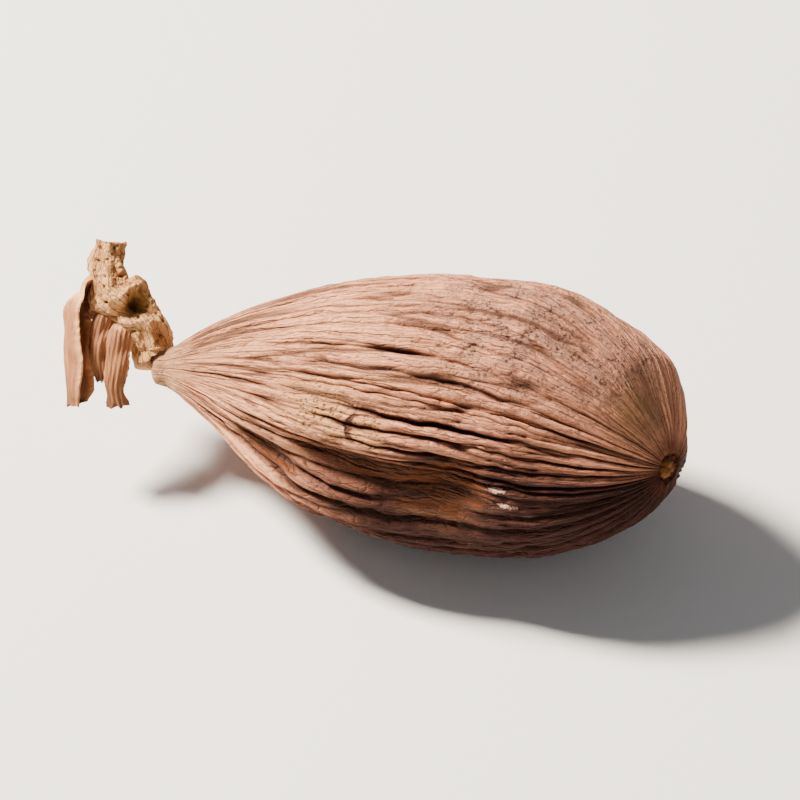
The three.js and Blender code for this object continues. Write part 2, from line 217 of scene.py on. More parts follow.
draw = seeded(SEED)
furrows = [{
    "place": index + SPACING_DRIFT * (draw() - 0.5),
    "depth": 0.3 + 0.7 * draw(),
    "waves": 0.5 + draw(),
    "wave_phase": draw(),
    "fades": 0.7 + 1.6 * draw(),
    "fade_phase": draw(),
} for index in range(FURROWS)]
furrow = {key: np.array([one[key] for one in furrows]) for key in furrows[0]}
column_index = np.repeat(np.arange(FURROWS), len(RIB_COLUMNS))
column_share = np.tile(RIB_COLUMNS, FURROWS)


def unsteady(index, t, cells, level):
    """Noise along each furrow, with its own course for each of them."""
    this, along = np.broadcast_arrays(NOISE_APART * (index % FURROWS), cells * t)
    return noise_at(np.stack([along, this, np.full(along.shape, float(level))], axis=-1))


def furrow_angle(index, t):
    this = index % FURROWS
    wave = WANDER * np.sin(TURN * (furrow["waves"][this] * t + furrow["wave_phase"][this]))
    jag = JAG * unsteady(index, t, JAG_CELLS, 0)
    return ((furrow["place"][this] + wave + jag) / FURROWS + index // FURROWS) * TURN


def furrow_depth(index, t):
    this = index % FURROWS
    fade = 0.68 + 0.32 * np.sin(TURN * (furrow["fades"][this] * t + furrow["fade_phase"][this]))
    return furrow["depth"][this] * fade * (1 + BREAK_UP * unsteady(index, t, BREAK_UP_CELLS, 5))


print(FURROWS, "furrows,", len(column_index), "columns of points round the pod")

# %% [markdown]
# Larger shapes lie under the ribs: a blunt keel along the flank, a deep dent below it where the
# husk fell in between the seeds, and pleats beside the dent. They could be pushed in by hand with
# a soft brush, but a list is easier to change: each is a soft spot that lifts or lowers the skin.
# Other spots make the furrows deeper or fainter, because the upper flank dried smoother than the
# lower one, and the spot that the pod rests on is pressed smooth.

# %% Folds, dents and calm areas
FOLDS = [  # at, towards, spread along, spread round, height
    (0.24, 168, 0.07, 7, 0.55),
    (0.42, 156, 0.12, 6, 0.85),
    (0.6, 150, 0.09, 7, 0.35),
    (0.25, 179, 0.07, 5.5, -0.85),
    (0.43, 166, 0.1, 5.5, -1.25),
    (0.63, 169, 0.09, 13, -1.6),
    (0.32, 194, 0.11, 9, 0.95),
    (0.4, 212, 0.1, 9, -0.45),
    (0.82, 186, 0.08, 14, 0.3),
    (0.66, 236, 0.12, 20, -0.5),
    (0.72, 96, 0.12, 26, 0.3),
    (0.5, 40, 0.2, 10, -0.45),
    (0.38, 20, 0.16, 9, 0.5),
    (0.7, 352, 0.13, 13, -0.8),
    (0.3, 325, 0.12, 14, 0.45),
    (0.45, 118, 0.14, 14, 0.25),
    (0.83, 46, 0.14, 38, 1.9),
    (0.94, 35, 0.05, 38, 0.5),
    (0.965, 66, 0.035, 10, -0.45),
]
RELIEF_ZONES = [  # at, towards, spread along, spread round, gain of the furrows' depth
    (0.3, 92, 0.26, 32, -0.62),
    (0.76, 84, 0.14, 27, -0.8),
    (0.91, 74, 0.07, 26, -0.5),
    (0.34, 142, 0.05, 8, -0.6),
    (0.62, 140, 0.18, 16, 0.6),
    (0.3, 195, 0.14, 16, 0.9),
    (0.63, 170, 0.06, 10, -0.45),
    (0.45, 30, 0.25, 30, 0.35),
    (0.6, 330, 0.2, 25, 0.3),
]
REST_PATCH = (0.54, 270, 0.14, 20)
REST_SMOOTHING = 2
FAINTEST_RELIEF = 0.06
CALM_ENDS = 0.6


def relief_gain(t, turn):
    gain = 1 + sum(zone[4] * spot(t, turn, *zone[:4]) for zone in RELIEF_ZONES)
    pressed = np.minimum(1, REST_SMOOTHING * spot(t, turn, *REST_PATCH))
    return np.maximum(FAINTEST_RELIEF, gain) * (1 - pressed)


def fold_height(t, turn, radius):
    calm = np.minimum(1, radius / (POD_RADIUS * CALM_ENDS))
    return sum(fold[4] * calm * spot(t, turn, *fold[:4]) for fold in FOLDS)


print(len(FOLDS), "folds and dents,", len(RELIEF_ZONES), "zones with deeper or fainter furrows")

# %% [markdown]
# ## Fine wrinkles
# Between the furrows the skin has finer creases that join and part again, like bark, and low
# lumps and beads. A bump in the material could stand for them, but the edge of the pod would stay
# smooth, so they are real here. Smooth noise, drawn out along the pod, gives them: a crease runs
# wherever the noise passes through zero, and such lines split and meet by themselves. The noise
# is read on a cylinder, so there is no seam where the turn starts again.

# %% Creases that join and part
CREASE_LAYERS = [  # noise cells round the pod, cells along it, width of a crease, depth in mm
    (62, 2.6, 0.14, 0.25),
    (120, 7, 0.2, 0.11),
]
CREASE_SHARPNESS = 1.3
LAYER_SHIFT = 17.3
LUMPS = (0.22, 9, 7, 40)  # height in mm, noise cells round the pod, cells along it, shift of the noise
BEADS = (0.09, 64, 38, 70)
NECK_CORK = (0.11, 9, 60, 90)


def on_cylinder(t, turn, cells_round, cells_along, shift=0.0):
    reach = cells_round / TURN
    along = cells_along * t + shift + 0 * turn
    return np.stack([reach * np.cos(turn), reach * np.sin(turn), along], axis=-1)


def crease_depths(t, turn, crowding):
    """Depth of the fine creases in mm, and how much of a crease each point is."""
    depth = 0
    shown = 0
    for layer, (cells_round, cells_along, width, deep) in enumerate(CREASE_LAYERS):
        value = noise_at(on_cylinder(t, turn, cells_round, cells_along, LAYER_SHIFT * layer))
        valley = np.exp(-np.abs(value / width) ** CREASE_SHARPNESS)
        depth = depth + deep * crowding * valley
        shown = np.maximum(shown, valley * deep / CREASE_LAYERS[0][3])
    return depth, shown


def lumps_on(t, turn, height, cells_round, cells_along, shift):
    return height * noise_at(on_cylinder(t, turn, cells_round, cells_along, shift))


print(len(CREASE_LAYERS), "layers of creases, up to",
      round(sum(layer[3] for layer in CREASE_LAYERS), 2), "mm deep")

# %% [markdown]
# ## A skin over rings of points
# Every grown piece here is a closed skin: a start point, rings of equally many points, and an end
# point. A UV sphere has just that plan, a pole, rings and a pole, with a clean UV map. So each
# piece starts as a sphere with the right number of segments and rings, and then each ring of the
# sphere is moved to a ring of the piece. Pulling a sphere into shape by hand couldn't place
# dozens of furrows.

# %% Shape a sphere into a skin
def skin(name, start, rings, end):
    rows, columns = rings.shape[:2]
    bpy.ops.object.select_all(action="DESELECT")
    bpy.ops.mesh.primitive_uv_sphere_add(segments=columns, ring_count=rows + 1, radius=1)
    piece = bpy.context.object
    piece.name = name
    piece.data.name = name
    mesh = piece.data
    flat = np.empty(len(mesh.vertices) * 3, np.float32)
    mesh.vertices.foreach_get("co", flat)
    x, y, z = flat.reshape(-1, 3).T
    row = rows + 1 - np.rint(np.arccos(np.clip(z, -1, 1)) / math.pi * (rows + 1)).astype(int)
    column = np.rint(np.arctan2(y, x) / TURN * columns).astype(int) % columns
    places = np.vstack([rings.reshape(-1, 3), start, end])
    start_at, end_at = rows * columns, rows * columns + 1
    on_ring = (row - 1) * columns + column
    order = np.where(row == 0, start_at, np.where(row == rows + 1, end_at, on_ring))
    mesh.vertices.foreach_set("co", (places[order] * MM).astype(np.float32).ravel())
    mesh.update()
    bpy.ops.object.mode_set(mode="EDIT")
    bpy.ops.mesh.select_all(action="SELECT")
    bpy.ops.mesh.normals_make_consistent(inside=False)
    bpy.ops.object.mode_set(mode="OBJECT")
    bpy.ops.object.shade_smooth()
    print(name, len(mesh.vertices), "points,", rows, "rings of", columns)
    return piece, order


def paint(piece, order, name, values):
    """Writes one value for each point of the rings as an attribute that a material can read."""
    width = values.shape[-1] if values.ndim == 3 else 1
    flat = values.reshape(-1, width)
    tail = np.array([flat[0], flat[-1]])
    kind = "FLOAT_VECTOR" if width == 3 else "FLOAT"
    attribute = piece.data.attributes.new(name, kind, "POINT")
    field = "vector" if width == 3 else "value"
    attribute.data.foreach_set(field, np.vstack([flat, tail])[order].astype(np.float32).ravel())


# %% [markdown]
# ## The husk
# The skin has three stretches: the socket at the neck's end, where the stalk sits, then the
# ribbed body, and then the tip. The rings of the body stand closer together at its ends, where
# its form turns fastest. Their points follow the furrows, so one rib always has the same columns.

# %% Points of the body
BODY_STATIONS = 160
FIRST_STATION = 0.006
LAST_STATION = 0.997
CLOSER_AT_ENDS = 0.65

index, share = column_index[None, :], column_share[None, :]
even = np.linspace(0, 1, BODY_STATIONS)
closer = 0.5 - 0.5 * np.cos(math.pi * even)
mixed = even + (closer - even) * CLOSER_AT_ENDS
t = (FIRST_STATION + (LAST_STATION - FIRST_STATION) * mixed)[:, None]


def angle_between(t):
    here, there = furrow_angle(index, t), furrow_angle(index + 1, t)
    return here + (there - here) * share


turn = angle_between(t)
radius = radius_of(t)
spacing = radius * TURN / FURROWS
print(BODY_STATIONS, "rings, ribs up to", round(float(spacing.max()), 2), "mm apart")

# %% [markdown]
# Furrows, folds, creases and lumps add up to one height above the plain form. Where the ribs
# crowd together near the ends, all of them get smaller. The neck is corky instead of ribbed, so
# it has its own small lumps, and the crown above the tip dried calm, with only faint ribs. Last,
# each point is moved square to the skin by its height.

# %% Height of the skin
CALM_CROWN = (0.92, 62, 0.07, 32)
CALM_CROWN_SHARE = 0.75
CALM_CROWN_CREASES = 0.6
ROOMY_SPACING = 0.9
NECK_UNTIL = (0.03, 0.09)
CREST_ROUNDING = 0.1
FAINTEST_CREASE = 0.35


def valley(w):
    return np.exp(-((w / FURROW_WIDTH) ** VALLEY_SHARPNESS))


calm_crown = spot(t, turn, *CALM_CROWN)
gain = relief_gain(t, turn) * (1 - CALM_CROWN_SHARE * calm_crown)
cut = furrow_depth(index, t) * valley(share) + furrow_depth(index + 1, t) * valley(1 - share)
crowding = np.minimum(1, spacing / ROOMY_SPACING)
crease, crease_shown = crease_depths(t, turn, crowding)
crease_shown = crease_shown * (1 - CALM_CROWN_CREASES * calm_crown)
off_neck = eased(t, *NECK_UNTIL)
off_floor = 1 - np.minimum(1, REST_SMOOTHING * spot(t, turn, *REST_PATCH))
height = -cut * np.minimum(FURROW_DEPTH, FURROW_LIMIT * spacing) * gain
height += fold_height(t, turn, radius)
height -= CREST_ROUNDING * spacing * (2 * share - 1) ** 2 * gain
height -= crease * (FAINTEST_CREASE + (1 - FAINTEST_CREASE) * gain) * off_neck * off_floor
height += crowding * lumps_on(t, turn, *LUMPS) * off_neck * off_floor
height += crowding * lumps_on(t, turn, *BEADS) * off_neck * off_floor
height += lumps_on(t, turn, *NECK_CORK) * (1 - off_neck)
lowest, highest = [round(float(part), 2) for part in (height.min(), height.max())]
print("the skin lies", lowest, "to", highest, "mm off the plain form")

# %% Rings of the body
step = 1e-4
slope = (radius_of(t + step) - radius_of(t - step)) / (2 * step * POD_LENGTH)
lean = np.hypot(slope, 1)
roundness = 1 + BLUNT_SHARE * np.cos(BLUNT_ANGLES * (turn - math.radians(BLUNT_AT)))
body_rings = section_point(t + 0 * turn, -height * slope / lean, radius * roundness + height / lean, turn)
steepest = math.degrees(math.atan(np.abs(slope).max()))
print("steepest skin:", round(steepest), "degrees off the centre line")

# %% [markdown]
# The neck ends in a socket round the foot of the stalk. At the tip the ribs run together into a
# narrow ring round a small broken lump, here called the button, the base of the fallen flower.
# Both ends are a few more rings on the same columns, so the skin stays one closed piece. The
# button could be a piece of its own, but it grew together with the husk.

# %% Socket and button
SOCKET = [(0.85, 0.6), (-0.15, 0.7), (-0.28, 0.9), (-0.1, 1.15)]  # place along the axis, radius
SOCKET_FLOOR = 0.9
BUTTON = [(-0.25, 0.95), (-0.4, 0.68), (-0.12, 0.58), (0.1, 0.42), (0.12, 0.2)]
BUTTON_FLOOR = 0.08
BUTTON_RINGS = 15
BUTTON_FROM = (0.6, 2)
BUTTON_CHIP = 0.18
BUTTON_PLEAT = 0.35
BUTTON_GRAIN = 0.07
GRAINS_PER_MM = 3


def plain_rings(t, profile, chip=0.0, pleat=0.0):
    """Rings of an end of the husk, broken by chips and drawn in by the furrows that reach it."""
    along, out = np.array(profile).T[:, :, None]
    turn = angle_between(np.array(t)) + 0 * out
    broken = chip * (0.5 + 0.5 * np.sin(3 * turn + 1)) * (0.6 + 0.4 * np.sin(7 * turn))
    uneven = 1 + chip * (0.6 * np.sin(2 * turn + 0.5) + 0.3 * np.sin(5 * turn))
    pleats = pleat * (cut[-1:] - 0.4)
    return section_point(t + 0 * turn, along - broken - pleats * 0.4, out * uneven - pleats, turn)


walk = np.linspace(0, len(BUTTON) - 1, BUTTON_RINGS)
button_profile = np.stack([np.interp(walk, range(len(BUTTON)), part) for part in zip(*BUTTON)], axis=-1)
on_button = eased(walk, *BUTTON_FROM)[:, None]
socket_rings = plain_rings(0.0, SOCKET)
button_rings = plain_rings(1.0, button_profile, BUTTON_CHIP * on_button, BUTTON_PLEAT * (1 - on_button))
button_rings += BUTTON_GRAIN * noise_at(button_rings * GRAINS_PER_MM)[..., None]

# %% The closed husk
rings = np.vstack([socket_rings, body_rings, button_rings])
rings[..., 2] = np.maximum(0, rings[..., 2])
socket_floor = section_point(np.array(0.0), SOCKET_FLOOR, 0, np.array(0.0))
button_floor = section_point(np.array(1.0), BUTTON_FLOOR, 0, np.array(0.0))
husk, husk_order = skin("ribbed_husk", socket_floor, rings, button_floor)

# %% [markdown]
# The husk's colour follows where it grew and weathered and where shade and glints are painted on
# it, so each point also keeps a few plain numbers: how deep in a furrow it is, how much it is neck,
# tip, corky or mottled, how much painted shade it has underneath, how much dark brown and painted
# shade it has in the dent and under the keel, and where two painted glints lie. They could be
# brushed on by hand, but numbers stay in place when the form is changed. They are attributes of the
# mesh, the pattern stays on the skin, and the material mixes its colours with them.

# %% Zones of the skin
ZONES = {  # strength, at, towards, spread along, spread round
    "cork": [(1, 0.37, 144, 0.06, 10), (0.8, 0.46, 145, 0.035, 7)],
    "pale": [(1, 0.12, 120, 0.17, 55), (0.7, 0.35, 105, 0.2, 40)],
    "mottled": [(1, 0.72, 90, 0.13, 24), (0.9, 0.87, 78, 0.07, 28)],
    # The dent zone is the dent's own darker skin with painted shade in it, plus painted shade in the
    # hollow under the keel.
    "dent": [(1.3, 0.625, 171, 0.08, 13), (1.1, 0.45, 167, 0.1, 5), (1, 0.26, 180, 0.07, 5)],
    "crown": [(1, 0.955, 88, 0.022, 20)],
    # Two painted glints of light below the keel.
    "painted_glints": [(1, 0.757, 166, 0.017, 1.0), (1, 0.78, 173, 0.015, 0.9)],
}
# Painted shade: the underside and the lower flank get darker, with a few more spots of painted shade and
# none on the lit lobe below the keel.
UNDERSIDE_TOWARDS = 250
PAINTED_SHADE_SPOTS = [(0.7, 0.8, 186, 0.15, 19), (0.4, 0.8, 140, 0.09, 15)]
LIT_LOBE = (0.45, 0.3, 192, 0.1, 11)


def spots(listed):
    return [strength * spot(t, turn, *where) for strength, *where in listed]


zone = {name: np.minimum(1, np.max(spots(listed), axis=0)) for name, listed in ZONES.items()}
under = np.cos(turn - math.radians(UNDERSIDE_TOWARDS)) * 0.5 + 0.5
in_painted_shade = eased(under, 0.25, 0.75) * eased(t + 0 * turn, 0.12, 0.45)
in_painted_shade = np.clip(in_painted_shade + sum(spots(PAINTED_SHADE_SPOTS)), 0, 1) * (1 - spots([LIT_LOBE])[0])
print("a share of", round(float(in_painted_shade.mean()), 2), "of the points is sheltered")


# %% Paint the zones on the husk
NECK_SKIN = (0.035, 0.075)
TIP_SKIN = (0.985, 0.997)
# Painted shade on the skin round the button.
BUTTON_IN_PAINTED_SHADE = 0.4


def whole_skin(values, socket_value, button_values):
    """One value for each ring point: the body's, with the socket's before it and the tip's after it."""
    columns = len(column_index)
    socket_part = np.full((len(SOCKET), columns), socket_value, float)
    button_part = np.broadcast_to(button_values, (BUTTON_RINGS, columns))
    return np.vstack([socket_part, np.broadcast_to(values, turn.shape), button_part])


# Among these numbers are painted shade underneath, painted shade in the dent and under the keel, and two
# painted glints.
painted = {  # value on the body, in the socket and at the tip
    "furrow": (np.clip(cut * gain * off_neck, 0, 1), 0, cut[-1:] * (1 - on_button)),
    "crease": (crease_shown * off_neck, 0, 0),
    "neck": (1 - eased(t, *NECK_SKIN), 1, 0),
    "cork": (zone["cork"], 0, 0),
    "pale": (zone["pale"], 1, 0),
    "mottled": (zone["mottled"], 0, 0),
    "in_painted_shade": (in_painted_shade, 0, BUTTON_IN_PAINTED_SHADE),
    "dent": (zone["dent"], 0, 0),
    "crown": (zone["crown"], 0, 0),
    "painted_glints": (zone["painted_glints"], 0, 0),
    "button": (0, 0, on_button),
    "tip": (eased(t, *TIP_SKIN), 0, 1),
}
for name, values in painted.items():
    paint(husk, husk_order, name, whole_skin(*values))
print("painted on the husk:", ", ".join(painted))

# %% [markdown]
# One more attribute, the grain, says where a point is round and along its piece. Noise that is
# read at the grain and drawn out runs with the fibres, also where the piece is bent.

# %% Grain of the husk
def grain_at(turn, t):
    turn, t = np.broadcast_arrays(turn, t)
    return np.stack([np.cos(turn), np.sin(turn), t], axis=-1)


socket_grain = grain_at(turn[:1], 0.0).repeat(len(SOCKET), axis=0)
button_grain = grain_at(turn[-1:], 1.0).repeat(BUTTON_RINGS, axis=0)
paint(husk, husk_order, "grain", np.vstack([socket_grain, grain_at(turn, t), button_grain]))
print("the husk has", len(husk.data.attributes), "attributes")

# %% [markdown]
# ## The piece of stalk
# The pod was torn off with a short piece of the stalk it grew on. It is corky and lumpy, widest
# at its middle, with the cup-like scar of a side stalk on one side and a torn shoulder on the
# other, and its top is a splintered break. It could be carved out of a cylinder, but it bends, so
# its rings are set along a smooth curve instead. The curve runs through a few points counted from
# the end of the pod's neck. Each ring is turned as little as possible against the one before it,
# so the fibres run straight along the stalk.

# %% Smooth curve with rings square to it
CURVE_FINENESS = 400


def spline(points):
    """Points of a smooth curve through the given ones, without overshoot, and the length up to each."""
    points = np.array(points, float)
    padded = np.vstack([2 * points[0] - points[1], points, 2 * points[-1] - points[-2]])
    walked = []
    for before, here, there, after in zip(padded, padded[1:], padded[2:], padded[3:]):
        gaps = [np.linalg.norm(b - a) ** 0.5 for a, b in ((before, here), (here, there), (there, after))]
        first, middle, last = gaps
        leave = (here - before) / first - (there - before) / (first + middle) + (there - here) / middle
        arrive = (there - here) / middle - (after - here) / (middle + last) + (after - there) / last
        leave, arrive = leave * middle, arrive * middle
        w = np.linspace(0, 1, CURVE_FINENESS, endpoint=False)[:, None]
        walked.append(here + leave * w + (-3 * here + 3 * there - 2 * leave - arrive) * w ** 2
                      + (2 * here - 2 * there + leave + arrive) * w ** 3)
    walked = np.vstack(walked + [points[-1:]])
    length = np.concatenate([[0], np.cumsum(np.linalg.norm(np.diff(walked, axis=0), axis=1))])
    return walked, length


def along_curve(points, t):
    """Centre and tangent at shares t of a curve's length, with two directions square to it."""
    walked, length = spline(points)

    def point_at(place):
        return np.stack([np.interp(place, length, walked[:, axis]) for axis in range(3)], axis=-1)

    at = np.clip(t, 0, 1) * length[-1]
    centre = point_at(at)
    step = 1e-3 * length[-1]
    tangent = unit(point_at(np.minimum(at + step, length[-1])) - point_at(np.maximum(at - step, 0)))
    least = np.eye(3)[np.argmin(np.abs(tangent[0]))]
    normal = np.cross(tangent[0], unit(np.cross(tangent[0], least)))
    normals = [normal]
    for here in tangent[1:]:
        normal = unit(normal - here * (normal @ here))
        normals.append(normal)
    normals = np.array(normals)
    return centre, tangent, normals, np.cross(tangent, normals)


def eased_value(pairs, place):
    """Value of a list of (place, value) pairs at a place, eased between the pairs."""
    value = np.full(np.shape(place), float(pairs[0][1]))
    for (start, low), (end, high) in zip(pairs, pairs[1:]):
        value = value + (high - low) * eased(place, start, end)
    return value


neck_end = centre_of(np.array(0.0))
print("the neck ends at", neck_end.round(2).tolist(), "mm")

# %% [markdown]
# The stalk's radius changes along it, and four things roughen it: long fibres, corky lumps made
# of a few waves, fine cork grain with pits from noise, and the scar, which is a hollow with a
# raised brim. Sculpting would give them too, but each is a plain formula here, so its size can be
# measured and changed.

# %% Measures of the stalk
STALK_LINE = [(-0.35, 0.05, 0.05), (-0.75, 1.0, 0.7), (-1.2, 1.5, 1.8), (-2.4, 2.15, 2.75),
              (-4.2, 2.75, 3.75), (-4.6, 3.5, 4.6), (-4.9, 4.45, 5.55), (-4.95, 4.95, 6.1)]
STALK_RADII = [(0, 1.35), (0.1, 1.45), (0.25, 1.35), (0.4, 1.45), (0.54, 1.75), (0.63, 1.85),
               (0.75, 1.4), (0.89, 1.15), (1, 0.95)]
EDGE_WAVES = [(2, 1, 0.035), (5, 0, 0.022)]  # waves round the stalk, phase, shift along it
STALK_COLUMNS = 160
STALK_STATIONS = 170
SMOOTH_FOOT = 0.12
FIBRES = 7
FIBRE_HEIGHT = 0.12
CORK_WAVES = 9
CORK_HEIGHT = 0.055
SCAR = (0.455, 126, 0.04, 25)
SCAR_DEPTH = 0.9
SCAR_BRIM = (0.49, 146, 0.06, 40)
SCAR_BRIM_HEIGHT = 0.7
STALK_SHOULDER = (0.65, 322, 0.05, 34)
STALK_SHOULDER_HEIGHT = 0.8
STALK_SEED = 5

stalk_t = np.linspace(0, 1, STALK_STATIONS)
centre, tangent, normals, binormals = along_curve(np.array(STALK_LINE) + neck_end, stalk_t)
print("the stalk is", round(float(spline(np.array(STALK_LINE))[1][-1]), 1), "mm long along its bend")

# %% The stalk's bent form
draw_cork = seeded(STALK_SEED)
cork_waves = [  # waves along the stalk, waves round it, phase
    (0.75 + 0.6 * i + 0.5 * draw_cork(), 1 + i % 5, TURN * draw_cork()) for i in range(CORK_WAVES)]
u, around = stalk_t[:, None], (np.arange(STALK_COLUMNS) / STALK_COLUMNS * TURN)[None, :]
rough = eased(u, 0, SMOOTH_FOOT)
fibres = FIBRE_HEIGHT * np.sin(FIBRES * around + 2 * u)
lumps = CORK_HEIGHT * sum(np.sin(a * TURN * u + r * around + phase) for a, r, phase in cork_waves)
hollow = spot(u, around, *SCAR)
scar = SCAR_BRIM_HEIGHT * spot(u, around, *SCAR_BRIM) - (SCAR_DEPTH + SCAR_BRIM_HEIGHT) * hollow
shoulder = STALK_SHOULDER_HEIGHT * spot(u, around, *STALK_SHOULDER)
ragged = sum(shift * np.sin(waves * around + phase) for waves, phase, shift in EDGE_WAVES)
stalk_radius = eased_value(STALK_RADII, u + rough * ragged) + rough * (fibres + lumps + scar + shoulder)
across = normals[:, None, :] * np.cos(around)[..., None]
across = across + binormals[:, None, :] * np.sin(around)[..., None]
smooth_stalk = centre[:, None, :] + across * stalk_radius[..., None]
print("radius from", round(float(stalk_radius.min()), 2), "to", round(float(stalk_radius.max()), 2), "mm")

# %% Cork grain, pits and the splintered top
CORK_GRAIN = [(0.9, 0.16), (2.6, 0.1), (6.5, 0.05)]  # grains per mm, height in mm
PITS_PER_MM = 2.6
PIT_SHIFT = 30
PIT_FROM = 0.32
PIT_DEPTH = 0.55
SPLINTERS = 20
SPLINTER = 0.18
BREAK_FROM = 0.9
BREAK_HOLLOW = 0.5

cork_grain = sum(tall * noise_at(smooth_stalk * grains) for grains, tall in CORK_GRAIN)
pits = np.clip(noise_at(smooth_stalk * PITS_PER_MM + PIT_SHIFT) - PIT_FROM, 0, 1)
draw_splinter = seeded(STALK_SEED + 1)
splinters = np.array([draw_splinter() for _ in range(SPLINTERS)])
closed = np.append(splinters, splinters[0])
splinter_at = np.interp(around / TURN * SPLINTERS, np.arange(SPLINTERS + 1), closed)
broken = SPLINTER * splinter_at * eased(u, BREAK_FROM, 1)
skin_height = rough * (cork_grain - PIT_DEPTH * pits)
stalk_rings = smooth_stalk + across * skin_height[..., None] + tangent[:, None, :] * broken[..., None]
break_floor = centre[-1] - BREAK_HOLLOW * tangent[-1]
stalk, stalk_order = skin("stalk_piece", centre[0], stalk_rings, break_floor)
paint(stalk, stalk_order, "grain", grain_at(around, u))
paint(stalk, stalk_order, "hollow", np.clip(hollow + 1.4 * pits, 0, 1))
paint(stalk, stalk_order, "height", np.clip(0.5 + 1.6 * (cork_grain + lumps + fibres), 0, 1))

# %% [markdown]
# The stalk sits on the neck with a narrow dark gap round it. It could be shaped by its rings, but
# the gap is worn sharp, so it is cut the way a joiner would: a short bevelled cylinder, a little
# wider than the neck, is taken away from the stalk's foot with a Boolean modifier.

# %% Cut the gap at the neck
NECK_GAP = 0.12
NECK_ROOM_RADIUS = 1.3
NECK_ROOM_LENGTH = 3.0
RIM_WEAR = 0.15

room_end = neck_end[0] + min(place for place, _ in SOCKET) - NECK_GAP
bpy.ops.object.select_all(action="DESELECT")
bpy.ops.mesh.primitive_cylinder_add(
    vertices=64, radius=(NECK_ROOM_RADIUS + NECK_GAP) * MM, depth=NECK_ROOM_LENGTH * MM,
    location=((room_end + NECK_ROOM_LENGTH / 2) * MM, neck_end[1] * MM, neck_end[2] * MM),
    rotation=(0, math.pi / 2, 0))
neck_room = bpy.context.object
bevel = neck_room.modifiers.new("worn rim", "BEVEL")
bevel.width = RIM_WEAR * MM
bevel.segments = 3
bpy.ops.object.modifier_apply(modifier=bevel.name)
bpy.ops.object.select_all(action="DESELECT")
stalk.select_set(True)
bpy.context.view_layer.objects.active = stalk
gap = stalk.modifiers.new("gap", "BOOLEAN")
gap.operation = "DIFFERENCE"
gap.object = neck_room
bpy.ops.object.modifier_apply(modifier=gap.name)
bpy.data.objects.remove(neck_room)
print("stalk after the cut:", len(stalk.data.polygons), "faces")

# %% [markdown]
# ## The dried bracts
# Bracts are the small leaves that wrapped the stalk. Three dry strips of them still hang from it:
# a long one curled into a deep gutter, a narrow one, and a broader one that spreads at its torn
# end. A plane with a Solidify modifier would give a strip of even thickness with square edges.
# Each is a thin closed blade instead. Its rings run once across the outer face and back across
# the inner one, so that the edges can thin out and curl to the inner side. Fine fibres run along
# it, and noise nibbles its edges and its end.

# %% Measures of the bracts
BRACT_STATIONS = 110
BRACT_POINTS = 36
BRACT_THICKNESS = 0.34
BRACT_THINNER_EDGE = 0.38
BRACT_FIBRES = 11
BRACT_FIBRE = 0.035
BRACT_CRUMPLE = 0.22
BRACT_UNEVEN = 0.13
BRACT_NIBBLE = 0.12
BRACT_TORN = 0.55
BRACTS = {  # centre line from the neck's end, widths along it, way of the outer face, curl of the edges
    "long_bract": (
        [(-4.75, 2.4, 3.6), (-6.0, 1.85, 3.65), (-6.6, 0.95, 3.2), (-6.5, -0.2, 2.2), (-6.05, -1.45, 1.0),
         (-5.65, -2.6, -0.3), (-5.3, -3.6, -1.55)],
        [(0, 1.4), (0.2, 2.5), (0.6, 2.7), (0.9, 2.4), (1, 1.8)], (-0.98, -0.09, -0.18), 1.1),
    "narrow_bract": (
        [(-4.05, 2.2, 3.7), (-4.1, 0.75, 3.25), (-4.1, -0.65, 2.35), (-3.8, -1.7, 1.3),
         (-3.35, -2.45, 0.15)],
        [(0, 1.2), (0.35, 1.25), (0.8, 1.1), (1, 0.7)], (0.1, -0.7, 0.7), 0.3),
    "broad_bract": (
        [(-2.8, 1.85, 2.95), (-2.75, 0.5, 2.7), (-2.6, -0.95, 1.85), (-2.4, -1.95, 0.9),
         (-2.25, -2.75, -0.1), (-1.85, -3.3, -1.1)],
        [(0, 1.4), (0.35, 1.9), (0.6, 1.8), (0.85, 1.15), (1, 1.6)], (0.2, -0.68, 0.7), 0.35),
}
print("bracts:", ", ".join(BRACTS))


# %% Blades of the bracts
def sheet_noise(first, second, level):
    """Smooth noise read on one level of a sheet with two coordinates."""
    first, second = np.broadcast_arrays(first, second)
    return noise_at(np.stack([first, second, np.full(first.shape, float(level))], axis=-1))


